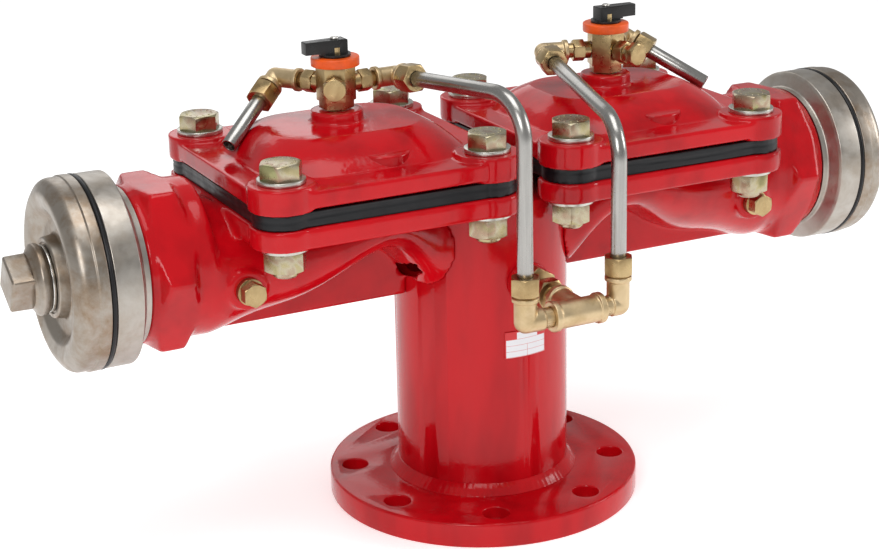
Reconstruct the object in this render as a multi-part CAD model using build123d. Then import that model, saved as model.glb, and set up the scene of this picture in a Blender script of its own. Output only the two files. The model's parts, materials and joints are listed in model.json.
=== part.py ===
from build123d import *
import math
import os

# Twin-outlet hydrant head, in millimetres.
# Origin: centre of the inlet flange's lower face. +X runs along the two outlets, -Y is the front
# with the supply tee, +Z is up.

# ---------------------------------------------------------------- driving dimensions

# inlet flange and riser
flange_od = 215.0
flange_thickness = 17.0
flange_pcd = 180.0
flange_hole_d = 18.0
flange_hole_count = 8
riser_od = 118.0
riser_id = 107.0
riser_bottom_z = 5.0
riser_top_z = 213.0
end_plate_thickness = 6.0
weld_leg = 7.0
weld_throat_r = 2.0
weld_throat_z = 2.4
fit_gap = 0.05

# valves
valve_x = 100.4
outlet_z = 202.0
body_flange_z = 222.0
rubber_z = 235.2
bonnet_z = 245.2
plate_top_z = 258.0
pad_top_z = 261.0
dome_top_z = 275.0
bonnet_boss_top_z = 283.0
plate_half = 89.0
land_half = 84.0
bolt_half_spacing = 70.0
pad_radius = 21.0
edge_recess = 1.8
edge_corner_r = 19.0
neck_collar_r = 51.0
neck_collar_start_u = 205.0
neck_collar_end_u = 222.0
socket_start_u = 226.0
neck_end_u = 215.0
hex_inner_u = 219.0
hex_outer_u = 244.0
hex_across_flats = 102.0
collar_outer_u = 249.0
outlet_bore_r = 40.0
web_half_thickness = 5.5
web_bottom_z = 151.4
web_top_z = 232.0
bowl_floor_r = 31.0
bowl_r = 58.4
spot_face_depth = 24.0
chamber_r = 56.0
chamber_mouth_z = 240.0
chamber_wall_z = 252.0
chamber_top_z = 268.0
bonnet_boss_r = 17.0
bonnet_boss_dx = -1.6
chamber_roof_r = 28.0
dome_pad_r = 13.5
dome_pad_x = 9.0
dome_pad_y = -49.0
dome_pad_top_z = 265.5
# dome outline: half length, half width, corner radius, height
dome_sections = [(72.0, 68.0, 42.0, 257.0), (62.0, 54.0, 36.0, 267.5), (50.0, 37.0, 26.0, 275.0)]

# lower shell of the valve body: distance from the riser axis, half width, underside, top
shell_sections = [
    (30.0, 47.0, 171.0, 226.0),
    (72.0, 52.0, 181.0, 234.0),
    (93.0, 58.0, 192.0, 234.0),
    (121.0, 58.0, 179.0, 234.0),
    (150.0, 52.0, 165.0, 234.0),
    (185.0, 49.0, 157.5, 235.0),
    (212.0, 50.3, 152.0, 251.6),
]
# water way inside it, in the same form
way_sections = [
    (44.0, 38.0, 180.0, 212.0),
    (72.0, 44.0, 190.0, 226.0),
    (98.0, 50.0, 216.2, 246.0),
    (121.0, 50.0, 197.0, 246.0),
    (150.0, 44.0, 176.0, 228.0),
    (185.0, 41.0, 164.0, 227.0),
    (212.0, 40.0, 162.0, 242.0),
]

# bonnet fasteners
bolt_d = 16.0
bolt_length = 62.0
bolt_hole_d = 18.0
bolt_head_height = 10.0
bolt_tip_chamfer = 1.2
washer_clearance = 0.4
hex_m16 = 24.0
nut_height = 13.0
washer_od = 30.0
washer_thickness = 3.0

# diaphragm, plate and closing spring
rim_inner_r = 58.0
membrane_r = 57.7
membrane_thickness = 5.0
weir_touch_z = 217.0
weir_touch_r = 30.0
weir_gap = 0.4
membrane_clamp_z = 243.0
membrane_roll_r = 52.0
membrane_roll_z = 241.0
plate_disc_r = 26.0
plate_disc_thickness = 6.0
guide_r = 12.0
guide_height = 8.0
spring_wire_d = 3.6
spring_r = 18.0
spring_turns = 3.5
spring_end_gap = 0.3

# drain plugs in the outlet necks
drain_u = 188.0
drain_z = 190.0
drain_boss_r = 13.0
drain_face_y = -52.0
drain_root_y = -30.0
drain_collar_r = 8.5
drain_collar_length = 4.0
drain_spigot_length = 12.0
drain_head_length = 8.0
drain_spigot_r = 5.5
drain_hex = 14.0

# outlet coupling, measured outwards from the riser axis
adapter_front_u = 274.0
adapter_back_u = 253.5
adapter_r = 61.0
seal_thickness = 3.0
cap_rim_r = 61.5
cap_face_u = 299.0
plug_washer_thickness = 2.0
plug_bead_r = 22.5
plug_square = 25.0
plug_square_root_u = 305.0
plug_end_u = 324.5
thread_r = 44.0
cap_thread_r = 46.4
plug_turn = 29.0
plug_spigot_r = 16.15

# selector cocks: hexagonal body, three ports 120 degrees apart
selector_port_z = 299.0
selector_bottom_z = 284.0
selector_top_z = 311.5
selector_hex = 22.0
selector_step_hex = 19.5
selector_step_z = 289.0
selector_spigot_r = 6.65
rotor_bottom_z = 291.0
port_r = 4.0
way_r = 2.8
port_seat_inner = 8.2
port_seat_outer = 12.0
nipple_collar_end = 15.5
nipple_hex = 13.0
nipple_hex_length = 8.0
nipple_neck_r = 4.8
nipple_end = 33.0
nipple_entry = 6.0
plug_head_length = 5.5
plug_bush_hex = 13.5
plug_bush_start = 13.0
ring_r = 15.6
ring_top_z = 317.3
rotor_r = 7.4
stem_r = 5.0
knob_base_r = 10.2
knob_base_z = 317.7
lever_z = 319.3
lever_top_z = 328.3
lever_reach = 21.3
lever_back = 7.0
lever_width = 9.0
lever_undercut = 0.9
screw_r = 1.5

# brass fittings and tubes
tube_od = 10.0
tube_id = 8.0
nut_hex = 17.0
nut_length = 12.0
elbow_r = 6.3
bead_r = 7.6
tube_bead_r = 8.6
tube_bend_r = 27.0
control_corner = 43.4
exhaust_corner = 46.5
elbow_leg = 11.0
bead_width = 3.0
socket_depth = 7.0
ferrule_r = 6.4
ferrule_length = 5.0
left_bend_z = 308.0
right_bend_z = 282.0
tee_centre = (3.0, -127.0, 165.5)
tee_left_x = -35.5
tee_right_x = 31.5
tee_r = 8.8
tee_half_left = 20.5
tee_half_right = 16.0
tee_branch = 26.0
neck_r = 6.2
supply_elbow_r = 7.3
left_supply_leg = 17.5
right_supply_leg = 20.0
branch_root_y = -66.0
boss_r = 14.0
boss_bore_r = 6.6
boss_root_y = -45.0
tapping_hole_r = 4.5

# headings of the ports in degrees from +X, then how far the plug reaches and how the exhaust stub
# turns, dips and reaches
left_ports = {
    "control": 3.5, "exhaust": 123.5, "plug": -116.5, "facet": -116.5, "lever": 180.0,
    "plug_reach": 19.6, "plug_bush": 0.0, "exhaust_turn": 90.0, "exhaust_dip": 31.0, "exhaust_length": 64.0,
}
right_ports = {
    "control": 164.0, "exhaust": 44.0, "plug": -76.0, "facet": -76.0, "lever": 0.0,
    "plug_reach": 31.0, "plug_bush": 7.8, "exhaust_turn": -90.0, "exhaust_dip": 27.5, "exhaust_length": 67.0,
}


# ---------------------------------------------------------------- helpers

def save(name, *solids):
    """Write one node: a single solid, or a group of separate solids."""
    flat = []
    for item in solids:
        flat.extend(item.solids())
    shape = flat[0] if len(flat) == 1 else Compound(children=flat)
    export_step(shape, "parts/" + name + ".step")
    return shape


def turned(points):
    """Solid of revolution about Z from (radius, height) points."""
    outline = Polyline(*[(r, 0, z) for r, z in points], close=True)
    return revolve(make_face(outline), axis=Axis.Z)


def turned_x(points):
    """Solid of revolution about the outlet axis from (distance from riser, radius) points."""
    outline = Polyline(*[(u, 0, outlet_z + r) for u, r in points], close=True)
    axis = Axis((0, 0, outlet_z), (1, 0, 0))
    return revolve(make_face(outline), axis=axis)


def disc(radius, z_low, z_high, x=0.0, y=0.0):
    """Upright cylinder between two heights."""
    height = z_high - z_low
    return Pos(x, y, z_low) * Cylinder(radius, height, align=(Align.CENTER, Align.CENTER, Align.MIN))


def hex_prism(across_flats, length):
    """Hexagonal prism from z=0 upwards with a corner on X."""
    outline = RegularPolygon(across_flats / 2, 6, major_radius=False)
    return extrude(outline, length)


def chamfered_hex(across_flats, length, low=True, high=True):
    """Hexagonal prism whose ends are turned to a cone, as on a nut."""
    corner_r = across_flats / math.sqrt(3)
    flat_r = across_flats / 2
    drop = (corner_r - flat_r) * 0.6
    low_r = flat_r * 0.98 if low else corner_r
    high_r = flat_r * 0.98 if high else corner_r
    low_step = drop if low else 0.01
    high_step = drop if high else 0.01
    points = [
        (0, 0), (low_r, 0), (corner_r + 0.01, low_step),
        (corner_r + 0.01, length - high_step), (high_r, length), (0, length),
    ]
    return hex_prism(across_flats, length) & turned(points)


def along(direction, start=(0, 0, 0), roll_x=None):
    """Location whose Z axis points along a direction."""
    if roll_x:
        return Plane(origin=start, x_dir=roll_x, z_dir=direction).location
    return Plane(origin=start, z_dir=direction).location


def heading(angle_deg, dip_deg=0.0):
    """Unit vector at a compass angle from +X, dipping below level."""
    a = math.radians(angle_deg)
    d = math.radians(dip_deg)
    return Vector(math.cos(a) * math.cos(d), math.sin(a) * math.cos(d), -math.sin(d))


def rod(radius, start, end):
    """Cylinder between two points."""
    a = Vector(*start)
    b = Vector(*end)
    length = (b - a).length
    return along(b - a, a) * Cylinder(radius, length, align=(Align.CENTER, Align.CENTER, Align.MIN))


def tube(points, radii, outer_d, inner_d):
    """Bent tube: straight runs joined by tangent arcs."""
    if len(points) > 2:
        path = FilletPolyline(*points, radius=radii)
    else:
        path = Line(*points)
    start = path @ 0
    plane = Plane(origin=start, z_dir=path % 0)
    section = plane * (Circle(outer_d / 2) - Circle(inner_d / 2))
    return sweep(section, path=path)


def rounded_square(half, corner_r, z_low, z_high, x):
    """Square plate with round corners, centred on a valve."""
    outline = RectangleRounded(2 * half, 2 * half, corner_r)
    return Pos(x, 0, z_low) * extrude(outline, z_high - z_low)


def mirrored(shape):
    """The same piece on the left side."""
    return mirror(shape, about=Plane.YZ)


def bolt_places(x):
    """Four bolt centres round a valve centre."""
    s = bolt_half_spacing
    return [(x + sx * s, sy * s) for sx in (-1, 1) for sy in (-1, 1)]


def loft_sections(sections):
    """Closed shell lofted through upright ellipses along X."""
    faces = []
    for u, half_width, low, high in sections:
        plane = Plane(origin=(u, 0, (low + high) / 2), x_dir=(0, 1, 0), z_dir=(1, 0, 0))
        faces.append(plane * Ellipse(half_width, (high - low) / 2))
    return loft(faces)


# ---------------------------------------------------------------- riser

def make_inlet_flange():
    body = disc(flange_od / 2, 0, flange_thickness)
    body = chamfer(body.edges().group_by(Axis.Z)[-1], 1.2)
    body -= disc(riser_od / 2 + fit_gap, riser_bottom_z, flange_thickness + 1)
    body -= disc(riser_id / 2, -1, flange_thickness + 1)
    for i in range(flange_hole_count):
        angle = math.radians((i + 0.5) * 360 / flange_hole_count)
        x = flange_pcd / 2 * math.cos(angle)
        y = flange_pcd / 2 * math.sin(angle)
        body -= disc(flange_hole_d / 2, -1, flange_thickness + 1, x, y)
    return body


def make_riser():
    body = disc(riser_od / 2, riser_bottom_z, riser_top_z)
    body -= disc(riser_id / 2, riser_bottom_z - 1, riser_top_z + 1)
    way = loft_sections(way_sections)
    body -= way
    body -= mirrored(way)
    x, _, z = tee_centre
    body -= rod(tapping_hole_r, (x, boss_root_y, z), (x, branch_root_y, z))
    return body


def make_flange_weld():
    r = riser_od / 2 + fit_gap
    z = flange_thickness + fit_gap
    return turned([(r, z), (r + weld_leg, z), (r + weld_throat_r, z + weld_throat_z), (r, z + weld_leg)])


def make_tapping_boss():
    x, _, z = tee_centre
    body = rod(boss_r, (x, boss_root_y, z), (x, branch_root_y, z))
    body -= disc(riser_od / 2 + fit_gap, 0, riser_top_z)
    body -= rod(boss_bore_r, (x, boss_root_y, z), (x, branch_root_y - 1, z))
    return body


# ---------------------------------------------------------------- valves, built on the right side

def make_valve_body():
    plate = rounded_square(plate_half, edge_corner_r, body_flange_z, rubber_z, valve_x)
    for x, y in bolt_places(valve_x):
        plate += disc(pad_radius, body_flange_z, rubber_z, x, y)
    low = neck_collar_start_u
    high = neck_collar_end_u
    neck = turned_x([
        (low, 0), (low, neck_collar_r - 2), (low + 3, neck_collar_r), (high, neck_collar_r), (high, 0),
    ])
    web_start = riser_id / 2
    web_size = (neck_end_u - web_start, 2 * web_half_thickness, web_top_z - web_bottom_z)
    web = Box(*web_size, align=(Align.MIN, Align.CENTER, Align.MIN))
    web = Pos(web_start, 0, web_bottom_z) * web
    start = along((1, 0, 0), (hex_inner_u, 0, outlet_z), (0, 1, 0))
    hexagon = start * chamfered_hex(hex_across_flats, hex_outer_u - hex_inner_u)
    boss = rod(drain_boss_r, (drain_u, drain_root_y, drain_z), (drain_u, drain_face_y, drain_z))
    collar_r = hex_across_flats / 2 - 0.7
    collar = turned_x([
        (hex_outer_u - 5, 0), (hex_outer_u - 5, collar_r), (collar_outer_u - 1, collar_r),
        (collar_outer_u, collar_r - 1), (collar_outer_u, 0),
    ])
    body = plate + loft_sections(shell_sections) + neck + web + hexagon + collar + boss
    above = Box(2 * (plate_half + 3), 300, 60, align=(Align.CENTER, Align.CENTER, Align.MIN))
    body -= Pos(valve_x, 0, rubber_z) * above
    body -= disc(riser_od / 2 + fit_gap, 0, bonnet_z)
    body -= loft_sections(way_sections)
    floor_z = weir_touch_z - weir_gap
    bowl = turned([
        (0, floor_z), (bowl_floor_r, floor_z), (bowl_r, rubber_z - 1), (bowl_r, rubber_z + 1),
        (0, rubber_z + 1),
    ])
    body -= Pos(valve_x, 0, 0) * bowl
    mouth = collar_outer_u + 1
    body -= turned_x([(low, 0), (low, outlet_bore_r), (mouth, outlet_bore_r), (mouth, 0)])
    body -= turned_x([(socket_start_u, 0), (socket_start_u, thread_r), (mouth, thread_r), (mouth, 0)])
    inner = (drain_u, drain_root_y + 10, drain_z)
    body -= rod(drain_spigot_r + fit_gap, inner, (drain_u, drain_face_y - 5, drain_z))
    for x, y in bolt_places(valve_x):
        body -= disc(bolt_hole_d / 2, body_flange_z - 1, rubber_z + 1, x, y)
        body -= disc(washer_od / 2 + 1.0, body_flange_z - spot_face_depth, body_flange_z, x, y)
    return body


def make_rim():
    """Clamped square edge of the diaphragm."""
    rim = rounded_square(plate_half - edge_recess, edge_corner_r, rubber_z, bonnet_z, valve_x)
    for x, y in bolt_places(valve_x):
        rim += disc(pad_radius - edge_recess, rubber_z, bonnet_z, x, y)
    rim -= disc(rim_inner_r, rubber_z - 1, bonnet_z + 1, valve_x)
    for x, y in bolt_places(valve_x):
        rim -= disc(bolt_hole_d / 2, rubber_z - 1, bonnet_z + 1, x, y)
    return rim


def make_membrane():
    """Moving dish of the diaphragm, resting on the weir."""
    low = weir_touch_z
    t = membrane_thickness
    points = [
        (0, low), (weir_touch_r, low), (membrane_r, rubber_z + 0.3), (membrane_r, membrane_clamp_z),
        (membrane_roll_r, membrane_roll_z), (weir_touch_r - 1, low + t), (0, low + t),
    ]
    return Pos(valve_x, 0, 0) * turned(points)


def make_diaphragm_plate():
    low = weir_touch_z + membrane_thickness + 0.1
    high = low + plate_disc_thickness
    points = [
        (0, low), (plate_disc_r, low), (plate_disc_r, high - 2), (plate_disc_r - 2, high),
        (guide_r, high), (guide_r - 1, high + guide_height), (0, high + guide_height),
    ]
    return Pos(valve_x, 0, 0) * turned(points)


def make_spring():
    end_room = spring_wire_d / 2 + spring_end_gap
    low = weir_touch_z + membrane_thickness + plate_disc_thickness + end_room
    high = chamber_top_z - end_room
    path = Helix((high - low) / spring_turns, high - low, spring_r)
    plane = Plane(origin=path @ 0, z_dir=path % 0)
    coil = sweep(plane * Circle(spring_wire_d / 2), path=path, is_frenet=True)
    return Pos(valve_x, 0, low) * coil


def make_bonnet():
    body = rounded_square(land_half, edge_corner_r - 4, bonnet_z, plate_top_z, valve_x)
    body += rounded_square(plate_half, edge_corner_r, bonnet_z + edge_recess, plate_top_z, valve_x)
    for x, y in bolt_places(valve_x):
        body += disc(pad_radius, bonnet_z, pad_top_z, x, y)
    sections = []
    for half_x, half_y, corner_r, z in dome_sections:
        sections.append(Pos(valve_x, 0, z) * RectangleRounded(2 * half_x, 2 * half_y, corner_r))
    body += loft(sections)
    boss_x = valve_x + bonnet_boss_dx
    body += disc(bonnet_boss_r, dome_top_z - 4, bonnet_boss_top_z, boss_x)
    body += disc(dome_pad_r, plate_top_z, dome_pad_top_z, valve_x + dome_pad_x, dome_pad_y)
    chamber = turned([
        (0, chamber_mouth_z), (chamber_r, chamber_mouth_z), (chamber_r, chamber_wall_z),
        (chamber_roof_r, chamber_top_z), (0, chamber_top_z),
    ])
    body -= Pos(valve_x, 0, 0) * chamber
    body -= disc(selector_spigot_r + fit_gap, chamber_top_z - 1, bonnet_boss_top_z + 1, boss_x)
    for x, y in bolt_places(valve_x):
        body -= disc(bolt_hole_d / 2, bonnet_z - 1, pad_top_z + 1, x, y)
        body -= disc(washer_od / 2 + 0.6, pad_top_z, pad_top_z + 12, x, y)
    return body


def make_bolt(x, y):
    top = pad_top_z + washer_thickness
    shank = disc(bolt_d / 2, top - bolt_length, top, x, y)
    shank = chamfer(shank.edges().group_by(Axis.Z)[0], bolt_tip_chamfer)
    return shank + Pos(x, y, top) * chamfered_hex(hex_m16, bolt_head_height, low=False)


def make_washer(x, y, z):
    hole = disc(bolt_d / 2 + washer_clearance, z - 1, z + washer_thickness + 1, x, y)
    return disc(washer_od / 2, z, z + washer_thickness, x, y) - hole


def make_nut(x, y):
    low = body_flange_z - washer_thickness - nut_height
    nut = Pos(x, y, low) * chamfered_hex(hex_m16, nut_height)
    return nut - disc(bolt_d / 2 + fit_gap, low - 1, low + 20, x, y)


def make_drain_plug():
    face = (drain_u, drain_face_y, drain_z)
    front = (drain_u, drain_face_y - drain_collar_length, drain_z)
    collar = rod(drain_collar_r, face, front)
    spigot = rod(drain_spigot_r, (drain_u, drain_face_y + drain_spigot_length, drain_z), face)
    head = chamfered_hex(drain_hex, drain_head_length, low=False)
    return collar + spigot + along((0, -1, 0), front, (0, 0, 1)) * head


# ---------------------------------------------------------------- outlet couplings, right side

def make_adapter():
    return turned_x([
        (228, outlet_bore_r), (228, thread_r - fit_gap), (collar_outer_u + fit_gap, thread_r - fit_gap),
        (collar_outer_u + fit_gap, 50.0), (adapter_back_u, 50.5), (adapter_back_u + 2.4, 59.0),
        (adapter_back_u + 4.0, adapter_r), (adapter_front_u - 1, adapter_r),
        (adapter_front_u, adapter_r - 0.8), (adapter_front_u, cap_thread_r + 0.08),
        (259, cap_thread_r + 0.08), (257, outlet_bore_r),
    ])


def make_seal():
    low = adapter_front_u + fit_gap
    high = low + seal_thickness
    return turned_x([(low, 49), (low, cap_rim_r), (high, cap_rim_r), (high, 49)])


def make_cap():
    seat = adapter_front_u + seal_thickness + 2 * fit_gap
    face = cap_face_u
    return turned_x([
        (262, cap_thread_r), (seat, cap_thread_r), (seat, cap_rim_r - 0.6), (seat + 0.6, cap_rim_r),
        (285, cap_rim_r), (291, 60), (296, 56.5), (298.6, 51.5), (298.6, 48.5), (295.5, 42), (291.5, 35),
        (290.5, 29), (292, 26.0), (face - 0.5, 25.2), (face, 24.6), (face, plug_spigot_r + 0.08),
        (286, plug_spigot_r + 0.08), (286, 30), (281, 41), (262, 41),
    ])


def make_plug_washer():
    low = cap_face_u + fit_gap
    high = low + plug_washer_thickness
    return turned_x([(low, plug_spigot_r + 0.6), (low, 21), (high, 21), (high, plug_spigot_r + 0.6)])


def make_cap_plug():
    seat = cap_face_u + plug_washer_thickness + 2 * fit_gap
    body = turned_x([
        (286.5, 0), (286.5, plug_spigot_r), (seat, plug_spigot_r), (seat, 20),
        (seat + 1.5, plug_bead_r - 0.6),
        (seat + 3.5, plug_bead_r), (seat + 5.5, plug_bead_r - 0.6), (seat + 8, 18.5), (seat + 8, 0),
    ])
    length = plug_end_u - plug_square_root_u
    head = Box(plug_square, plug_square, length, align=(Align.CENTER, Align.CENTER, Align.MIN))
    head = chamfer(head.edges().group_by(Axis.Z)[-1], 1.2)
    turn = Rot(0, 0, plug_turn)
    return body + along((1, 0, 0), (plug_square_root_u, 0, outlet_z), (0, 1, 0)) * turn * head


# ---------------------------------------------------------------- selector cocks

def port_point(x, angle, distance):
    d = heading(angle)
    return Vector(x + d.X * distance, d.Y * distance, selector_port_z)


def make_selector_body(x, ports):
    turn = ports["facet"]
    body = Pos(x, 0, selector_step_z) * Rot(0, 0, turn + 30) * hex_prism(
        selector_hex, selector_top_z - selector_step_z)
    body += Pos(x, 0, selector_bottom_z) * Rot(0, 0, turn + 30) * hex_prism(
        selector_step_hex, selector_step_z - selector_bottom_z)
    body += disc(selector_spigot_r, selector_bottom_z - 13, selector_bottom_z, x)
    body -= disc(rotor_r + fit_gap, rotor_bottom_z, selector_top_z + 1, x)
    body -= disc(way_r, 200, rotor_bottom_z + 1, x)
    for name in ("control", "exhaust", "plug"):
        body -= rod(port_r, port_point(x, ports[name], 0), port_point(x, ports[name], 20))
    return body


def make_ring(x):
    ring = disc(ring_r, selector_top_z, ring_top_z, x)
    ring = chamfer(ring.edges().group_by(Axis.Z)[-1], 0.5)
    return ring - disc(stem_r + fit_gap, selector_top_z - 1, ring_top_z + 1, x)


def make_rotor(x, lever_angle):
    """Turning core: an L-shaped way from the bottom port to the side the lever points at."""
    core = disc(rotor_r, rotor_bottom_z + fit_gap, selector_top_z - fit_gap, x)
    core += disc(stem_r, selector_top_z - 1, lever_z + 4, x)
    core -= disc(way_r, rotor_bottom_z - 1, selector_port_z, x)
    core -= rod(way_r, port_point(x, lever_angle, 0), port_point(x, lever_angle, 20))
    core -= disc(screw_r + fit_gap, lever_z - 4, lever_z + 5, x)
    return core


def make_knob(x, lever_angle):
    base = disc(knob_base_r, knob_base_z, lever_z)
    root = lever_width / 2 + 0.6
    tip = lever_width / 2 - 0.8
    outline = Polyline(
        (-lever_back, -root), (lever_reach, -tip), (lever_reach, tip), (-lever_back, root), close=True)
    lever = Pos(0, 0, lever_z) * extrude(make_face(outline), lever_top_z - lever_z)
    lever = fillet(lever.edges().group_by(Axis.Z)[-1], 0.7)
    lever -= Pos(lever_reach, 0, lever_z) * Box(
        2 * (lever_reach - knob_base_r - 1.0), 20, 2 * lever_undercut)
    knob = base + lever
    knob -= disc(stem_r + fit_gap, 300, lever_z + 4.1)
    knob -= disc(screw_r + fit_gap, 300, 340)
    return Pos(x, 0, 0) * Rot(0, 0, lever_angle) * knob


def make_knob_screw(x):
    head = disc(2.7, lever_top_z, lever_top_z + 1.4)
    head = fillet(head.edges().group_by(Axis.Z)[-1], 0.8)
    screw = head + disc(screw_r, lever_z - 3, lever_top_z)
    screw -= Pos(0, 0, lever_top_z + 1.4) * Box(6, 0.8, 1.2)
    return Pos(x, 0, 0) * screw


def port_spigot(x, angle):
    """Plain end that sits in a port of the selector body."""
    seat = port_point(x, angle, port_seat_inner)
    return rod(port_r - fit_gap, seat, port_point(x, angle, port_seat_outer))


def make_nipple(x, angle):
    """Port nipple: turned collar, hexagon and thread neck, bored through."""
    d = heading(angle)
    hex_end = nipple_collar_end + nipple_hex_length
    hexagon = chamfered_hex(nipple_hex, nipple_hex_length)
    hexagon = along(d, port_point(x, angle, nipple_collar_end), (0, 0, 1)) * hexagon
    body = port_spigot(x, angle)
    body += rod(5.8, port_point(x, angle, selector_hex / 2 + 0.3), port_point(x, angle, nipple_collar_end))
    body += hexagon
    body += rod(nipple_neck_r, port_point(x, angle, hex_end), port_point(x, angle, nipple_end))
    return body - rod(way_r, port_point(x, angle, 0), port_point(x, angle, 60))


def make_port_plug(x, ports):
    """Blanked port: hexagon-headed plug, on the right with a hexagon bush behind it."""
    angle = ports["plug"]
    reach = ports["plug_reach"]
    d = heading(angle)
    head_start = port_point(x, angle, reach - plug_head_length)
    body = port_spigot(x, angle)
    body += rod(5.6, port_point(x, angle, selector_hex / 2 + 0.3), port_point(x, angle, reach - 2))
    if ports["plug_bush"]:
        bush = chamfered_hex(plug_bush_hex, ports["plug_bush"])
        body += along(d, port_point(x, angle, plug_bush_start), (0, 0, 1)) * bush
    return body + along(d, head_start, (0, 0, 1)) * chamfered_hex(drain_hex, plug_head_length, low=False)


# ---------------------------------------------------------------- fittings and tubes

def make_elbow(corner, leg_a, dir_a, dir_b):
    """Elbow from a nipple (leg a) to a tube (leg b): ball corner, a bead at each mouth, bored through."""
    c = Vector(*corner)
    a = Vector(*dir_a).normalized()
    b = Vector(*dir_b).normalized()
    body = Pos(*c) * Sphere(elbow_r)
    body += rod(elbow_r, c, c + a * leg_a)
    body += rod(elbow_r, c, c + b * elbow_leg)
    body += rod(bead_r, c + a * (leg_a - bead_width), c + a * leg_a)
    body += rod(tube_bead_r, c + b * (elbow_leg - bead_width - 0.8), c + b * (elbow_leg - 0.8))
    body -= rod(way_r, c, c + a * (leg_a + 1))
    body -= rod(way_r, c, c + b * (elbow_leg + 1))
    body -= rod(nipple_neck_r + fit_gap, c + a * (leg_a - socket_depth), c + a * (leg_a + 1))
    body -= rod(tube_od / 2 + fit_gap, c + b * (elbow_leg - socket_depth), c + b * (elbow_leg + 1))
    return body


def make_tube_nut(mouth, direction):
    """Compression nut that runs from a fitting's mouth along the tube."""
    d = Vector(*direction).normalized()
    m = Vector(*mouth)
    nut = along(d, m + d * 0.1, None) * chamfered_hex(nut_hex, nut_length)
    nut -= rod(tube_od / 2 + 0.15, m - d, m + d * 40)
    return nut - rod(ferrule_r + fit_gap, m - d, m + d * (ferrule_length + 0.2))


def make_ferrule(mouth, direction):
    d = Vector(*direction).normalized()
    m = Vector(*mouth)
    ring = rod(ferrule_r, m + d * 0.15, m + d * ferrule_length)
    return ring - rod(tube_od / 2 + fit_gap, m - d, m + d * 20)


def control_line(x, ports, drop_x, top_z, leg):
    """Corner of the control elbow, the tube's bend point and its foot."""
    corner = port_point(x, ports["control"], control_corner)
    bend = Vector(drop_x, tee_centre[1], top_z)
    foot = Vector(drop_x, tee_centre[1], tee_centre[2] + leg)
    return corner, bend, foot


def make_supply_tee():
    cx, cy, cz = tee_centre
    left = cx - tee_half_left
    right = cx + tee_half_right
    body = rod(tee_r, (left, cy, cz), (right, cy, cz))
    body += rod(tee_r - 0.2, (cx, cy, cz), (cx, cy + tee_branch, cz))
    for start, end in (((left, cy, cz), (left + 4, cy, cz)), ((right - 4, cy, cz), (right, cy, cz)),
                       ((cx, cy + tee_branch - 4, cz), (cx, cy + tee_branch, cz))):
        body += rod(tee_r + 1.2, start, end)
    body -= rod(5.0, (left - 1, cy, cz), (right + 1, cy, cz))
    body -= rod(4.6, (cx, cy, cz), (cx, cy + tee_branch + 1, cz))
    for start, end in (((left - 1, cy, cz), (left + 7, cy, cz)), ((right - 7, cy, cz), (right + 1, cy, cz)),
                       ((cx, cy + tee_branch - 7, cz), (cx, cy + tee_branch + 1, cz))):
        body -= rod(neck_r + fit_gap, start, end)
    return body


def make_supply_nipple():
    """Hexagon nipple between the riser's tapping boss and the tee's branch."""
    cx, cy, cz = tee_centre
    face = branch_root_y
    body = rod(neck_r, (cx, face + 6.5, cz), (cx, cy + tee_branch - 6.9, cz))
    body += along((0, -1, 0), (cx, face - 0.5, cz), (0, 0, 1)) * chamfered_hex(24, 10)
    body += along((0, -1, 0), (cx, face - 18, cz), (1, 0, 0)) * chamfered_hex(19, 9)
    return body - rod(4.0, (cx, face + 20, cz), (cx, cy, cz))


def make_supply_elbow(x, side, leg):
    """Elbow from the tee's run up to a control tube."""
    cx, cy, cz = tee_centre
    end = cx + (tee_half_right if side > 0 else -tee_half_left)
    corner = Vector(x, cy, cz)
    body = Pos(*corner) * Sphere(supply_elbow_r)
    leg_end = Vector(end + side * 6.5, cy, cz)
    neck_end = Vector(end - side * 6.9, cy, cz)
    body += rod(supply_elbow_r, corner, leg_end)
    body += rod(neck_r, corner, neck_end)
    mouth_z = cz + leg
    body += rod(supply_elbow_r, corner, (x, cy, mouth_z))
    body += rod(tube_bead_r, (x, cy, mouth_z - bead_width - 1), (x, cy, mouth_z - 1))
    body -= rod(way_r, corner, neck_end + Vector(-side, 0, 0))
    body -= rod(way_r, corner, (x, cy, mouth_z + 1))
    return body - rod(tube_od / 2 + fit_gap, (x, cy, mouth_z - socket_depth), (x, cy, mouth_z + 1))


def make_name_plate():
    """Plain plate bent to the riser's front."""
    shell = disc(riser_od / 2 + 1.0, 113, 132) - disc(riser_od / 2 + fit_gap, 112, 133)
    return shell & Pos(2.5, -60, 122.5) * Box(31, 60, 18.5)


# ---------------------------------------------------------------- write every node

def save_riser():
    save("inlet_flange", make_inlet_flange())
    save("riser_pipe", make_riser())
    save("riser_end_plate", disc(riser_od / 2, riser_top_z + fit_gap, riser_top_z + end_plate_thickness))
    save("flange_weld", make_flange_weld())
    save("tapping_boss", make_tapping_boss())
    save("name_plate", make_name_plate())


def save_valves():
    builders = {
        "valve_body": make_valve_body, "diaphragm_rim": make_rim, "diaphragm": make_membrane,
        "diaphragm_plate": make_diaphragm_plate, "closing_spring": make_spring, "bonnet": make_bonnet,
        "outlet_adapter": make_adapter, "outlet_seal": make_seal, "outlet_cap": make_cap,
        "plug_washer": make_plug_washer, "cap_plug": make_cap_plug,
    }
    for name, builder in builders.items():
        right = builder()
        save(name + "_right", right)
        if name == "bonnet":
            save(name + "_left", Pos(-2 * valve_x, 0, 0) * right)
        else:
            save(name + "_left", mirrored(right))
    drain = make_drain_plug()
    save("drain_plugs", drain, mirrored(drain))
    places = bolt_places(valve_x) + bolt_places(-valve_x)
    save("bonnet_bolts", *[make_bolt(x, y) for x, y in places])
    low = body_flange_z - washer_thickness
    save("bonnet_washers", *[make_washer(x, y, z) for x, y in places for z in (pad_top_z, low)])
    save("bonnet_nuts", *[make_nut(x, y) for x, y in places])


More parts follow.
